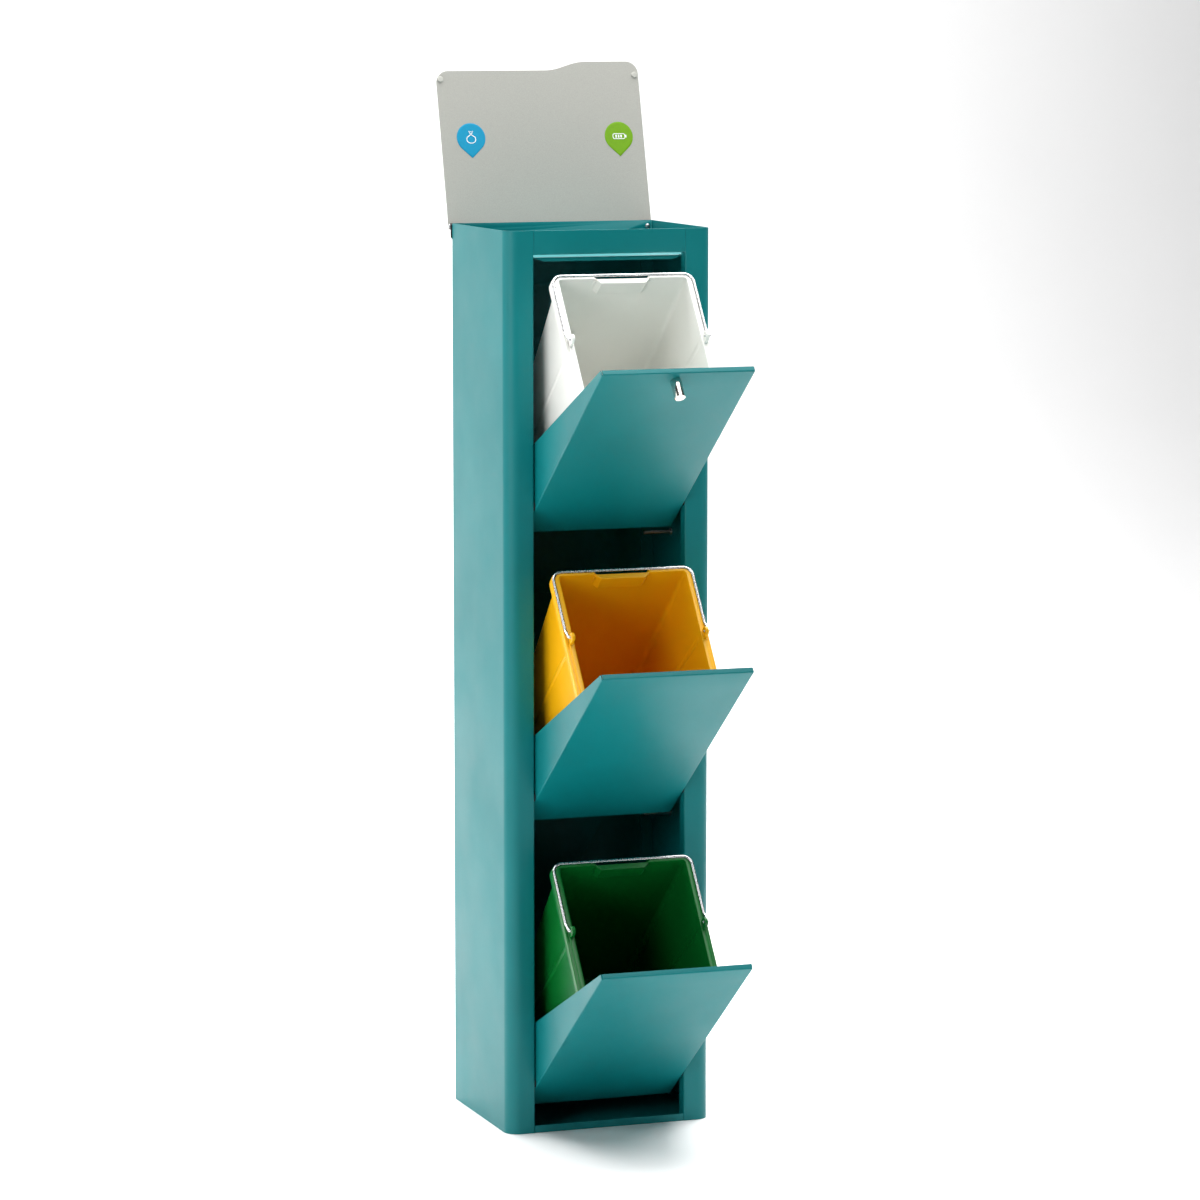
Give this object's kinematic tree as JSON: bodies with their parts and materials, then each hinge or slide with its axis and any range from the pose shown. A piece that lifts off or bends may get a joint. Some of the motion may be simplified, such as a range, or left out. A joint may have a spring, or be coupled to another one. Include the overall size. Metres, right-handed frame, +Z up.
{
  "type": "recycling bin station",
  "caption": "Tall folded-steel recycling station with tilting flaps that each carry a lift-out bucket with a wire handle, and a hinged lid over a shallow tray.",
  "frame": {"origin": "on the floor at the middle of the cabinet footprint", "axes": "+X to the right seen from the front, front faces -Y, +Z up"},
  "size_m": [0.3248, 0.6264, 1.5668],
  "materials": {
    "teal_powder_coat": "satin powder coat on folded sheet steel",
    "fixing_steel": "plain turned steel",
    "hinge_dark": "dark coated steel",
    "lid_paint": "fine textured light warm grey",
    "bumper_rubber": "soft white rubber",
    "washer_plastic": "black nylon",
    "sticker_blue": "printed film",
    "sticker_green": "printed film",
    "sticker_white": "printed film",
    "knob_steel": "polished",
    "bucket_white": "glossy moulded plastic",
    "bucket_yellow": "glossy moulded plastic",
    "bucket_green": "glossy moulded plastic",
    "wire": "bright plated wire"
  },
  "bodies": {
    "cabinet": {"side_panel_left": "teal_powder_coat", "side_panel_right": "teal_powder_coat", "back_panel": "teal_powder_coat", "header_panel": "teal_powder_coat", "top_tray": "teal_powder_coat", "base_tray": "teal_powder_coat", "back_rivets": "teal_powder_coat", "stop_pins_top": "fixing_steel", "stop_pins_middle": "fixing_steel", "stop_pins_bottom": "fixing_steel", "pivot_bolts_top": "fixing_steel", "pivot_bolts_middle": "fixing_steel", "pivot_bolts_bottom": "fixing_steel", "hinge_bracket_left": "hinge_dark", "hinge_bracket_right": "hinge_dark", "hinge_screws": "fixing_steel", "hinge_pins": "fixing_steel"},
    "lid": {"lid_panel": "lid_paint", "lid_knuckles": "hinge_dark", "lid_bumpers": "bumper_rubber", "bag_sticker": "sticker_blue", "bag_icon": "sticker_white", "battery_sticker": "sticker_green", "battery_icon": "sticker_white"},
    "top_flap": {"flap_top": "teal_powder_coat", "pivot_washers_top": "washer_plastic", "knob": "knob_steel", "knob_screw": "fixing_steel"},
    "white_bucket": {"bucket_white": "bucket_white"},
    "white_handle": {"bail_white": "wire"},
    "middle_flap": {"flap_middle": "teal_powder_coat", "pivot_washers_middle": "washer_plastic"},
    "yellow_bucket": {"bucket_yellow": "bucket_yellow"},
    "yellow_handle": {"bail_yellow": "wire"},
    "bottom_flap": {"flap_bottom": "teal_powder_coat", "pivot_washers_bottom": "washer_plastic"},
    "green_bucket": {"bucket_green": "bucket_green"},
    "green_handle": {"bail_green": "wire"}
  },
  "joints": [
    {"name": "top_flap_tilt", "type": "hinge", "parent": "cabinet", "child": "top_flap", "pos_m": [0, -0.1185, 0.93], "axis": [1, 0, 0], "range_deg": [-53, 0]},
    {"name": "white_bucket_lift", "type": "slide", "parent": "top_flap", "child": "white_bucket", "axis": [0, -0.7986, 0.6018], "range_m": [0, 0.33]},
    {"name": "white_handle_swing", "type": "hinge", "parent": "white_bucket", "child": "white_handle", "pos_m": [0, -0.25192, 1.18173], "axis": [1, 0, 0], "range_deg": [0, 150]},
    {"name": "middle_flap_tilt", "type": "hinge", "parent": "cabinet", "child": "middle_flap", "pos_m": [0, -0.1185, 0.502], "axis": [1, 0, 0], "range_deg": [-53, 0]},
    {"name": "yellow_bucket_lift", "type": "slide", "parent": "middle_flap", "child": "yellow_bucket", "axis": [0, -0.7986, 0.6018], "range_m": [0, 0.33]},
    {"name": "yellow_handle_swing", "type": "hinge", "parent": "yellow_bucket", "child": "yellow_handle", "pos_m": [0, -0.25192, 0.75373], "axis": [1, 0, 0], "range_deg": [0, 150]},
    {"name": "bottom_flap_tilt", "type": "hinge", "parent": "cabinet", "child": "bottom_flap", "pos_m": [0, -0.1185, 0.074], "axis": [1, 0, 0], "range_deg": [-53, 0]},
    {"name": "green_bucket_lift", "type": "slide", "parent": "bottom_flap", "child": "green_bucket", "axis": [0, -0.7986, 0.6018], "range_m": [0, 0.33]},
    {"name": "green_handle_swing", "type": "hinge", "parent": "green_bucket", "child": "green_handle", "pos_m": [0, -0.25192, 0.32573], "axis": [1, 0, 0], "range_deg": [0, 150]},
    {"name": "lid_tilt", "type": "hinge", "parent": "cabinet", "child": "lid", "pos_m": [0, 0.131, 1.326], "axis": [-1, 0, 0], "range_deg": [-105, 0]}
  ]
}
